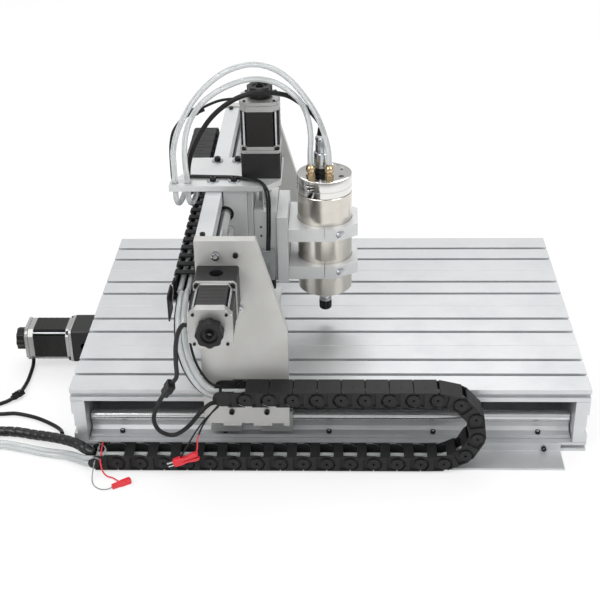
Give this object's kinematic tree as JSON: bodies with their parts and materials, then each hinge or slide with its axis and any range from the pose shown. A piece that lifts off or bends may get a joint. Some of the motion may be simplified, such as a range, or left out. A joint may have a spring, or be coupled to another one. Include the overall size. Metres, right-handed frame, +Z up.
{
  "type": "cnc router",
  "caption": "Bench-top CNC router with a slotted table, a travelling gantry, a water-cooled spindle, screw-driven slides, cable chains and hanging cords.",
  "frame": {"origin": "centre of the machine's footprint, cords left out, on the surface it stands on", "axes": "+X along the table away from the table motor, +Y from the chain side to the far side, +Z up"},
  "size_m": [1.0765, 0.6584, 0.5218],
  "materials": {
    "table_aluminium": "clear anodised, satin",
    "frame_aluminium": "clear anodised, satin",
    "bright_steel": "ground and polished",
    "spindle_steel": "turned, bright",
    "polished_cap": "polished",
    "black_metal": "black, satin",
    "motor_black": "black laminations with bright end caps",
    "black_plastic": "moulded, matt",
    "cable_black": "cable jacket, satin",
    "clear_tube": "clear flexible tube"
  },
  "bodies": {
    "root": {"worktable": "table_aluminium", "end_beam_left": "table_aluminium", "end_beam_right": "table_aluminium", "base_profile_near": "table_aluminium", "base_profile_far": "table_aluminium", "rail_near": "bright_steel", "rail_far": "bright_steel", "chain_tray": "table_aluminium", "long_motor_mount": "black_metal", "long_motor": "motor_black", "long_chain_fixed_run": "black_plastic", "long_chain_bend": "black_plastic", "long_motor_cable": "cable_black", "supply_harness": "cable_black", "supply_hoses": "clear_tube"},
    "long_screw": {"long_ball_screw": "bright_steel", "long_hand_knob": "black_plastic"},
    "gantry": {"gantry_side_near": "frame_aluminium", "gantry_side_far": "frame_aluminium", "gantry_cross_plate": "table_aluminium", "gantry_channel": "table_aluminium", "cross_rod_upper": "bright_steel", "cross_rod_lower": "bright_steel", "rail_bearing_near_left": "black_metal", "rail_bearing_near_right": "black_metal", "rail_bearing_far_left": "black_metal", "rail_bearing_far_right": "black_metal", "long_nut_housing": "black_metal", "cross_motor_mount": "black_metal", "cross_motor": "motor_black", "cross_chain_fixed_run": "black_plastic", "cross_chain_tray": "table_aluminium", "long_chain_gantry_end": "black_plastic", "gantry_harness": "cable_black", "cross_motor_cable": "cable_black"},
    "cross_screw": {"cross_ball_screw": "bright_steel", "cross_hand_knob": "black_plastic"},
    "cross_carriage": {"carriage_block": "table_aluminium", "carriage_top_plate": "table_aluminium", "upright_frame": "table_aluminium", "upright_rod_near": "bright_steel", "upright_rod_far": "bright_steel", "upright_motor_mount": "black_metal", "upright_motor": "motor_black", "cross_chain_bend": "black_plastic", "spindle_hose_outer": "clear_tube", "spindle_hose_inner": "clear_tube", "spindle_cable": "cable_black", "upright_motor_cable": "cable_black", "limit_switch_cable": "cable_black"},
    "upright_screw": {"upright_ball_screw": "bright_steel", "upright_hand_knob": "black_plastic"},
    "upright_slide": {"upright_slide": "table_aluminium", "spindle_mount_plate": "table_aluminium", "limit_switch": "black_plastic", "spindle_clamp_lower": "table_aluminium", "spindle_clamp_upper": "table_aluminium", "spindle_body": "spindle_steel", "spindle_cap": "polished_cap"},
    "spindle_rotor": {"spindle_nose": "bright_steel"}
  },
  "joints": [
    {"name": "gantry_travel", "type": "slide", "parent": "root", "child": "gantry", "axis": [1, 0, 0], "range_m": [-0.16, 0.385], "deforming": ["long_chain_bend"]},
    {"name": "long_screw_turn", "type": "hinge", "parent": "root", "child": "long_screw", "pos_m": [0.0677, 0.0652, 0.0446], "axis": [1, 0, 0], "continuous": true},
    {"name": "carriage_travel", "type": "slide", "parent": "gantry", "child": "cross_carriage", "axis": [0, 1, 0], "range_m": [-0.135, 0.225], "deforming": ["cross_chain_bend"]},
    {"name": "cross_screw_turn", "type": "hinge", "parent": "gantry", "child": "cross_screw", "pos_m": [-0.0763, 0.0652, 0.2825], "axis": [0, 1, 0], "continuous": true},
    {"name": "upright_travel", "type": "slide", "parent": "cross_carriage", "child": "upright_slide", "axis": [0, 0, 1], "range_m": [-0.018, 0.028], "deforming": ["spindle_hose_outer", "spindle_hose_inner", "spindle_cable", "limit_switch_cable"]},
    {"name": "upright_screw_turn", "type": "hinge", "parent": "cross_carriage", "child": "upright_screw", "pos_m": [-0.0283, 0.0217, 0.3523], "axis": [0, 0, 1], "continuous": true},
    {"name": "spindle_spin", "type": "hinge", "parent": "upright_slide", "child": "spindle_rotor", "pos_m": [0.0613, 0.0217, 0.1635], "axis": [0, 0, 1], "continuous": true}
  ],
  "couplings": [
    {"joint": "long_screw_turn", "follows": "gantry_travel", "rad_per_m": 1256.6},
    {"joint": "cross_screw_turn", "follows": "carriage_travel", "rad_per_m": 1256.6},
    {"joint": "upright_screw_turn", "follows": "upright_travel", "rad_per_m": 1256.6}
  ]
}
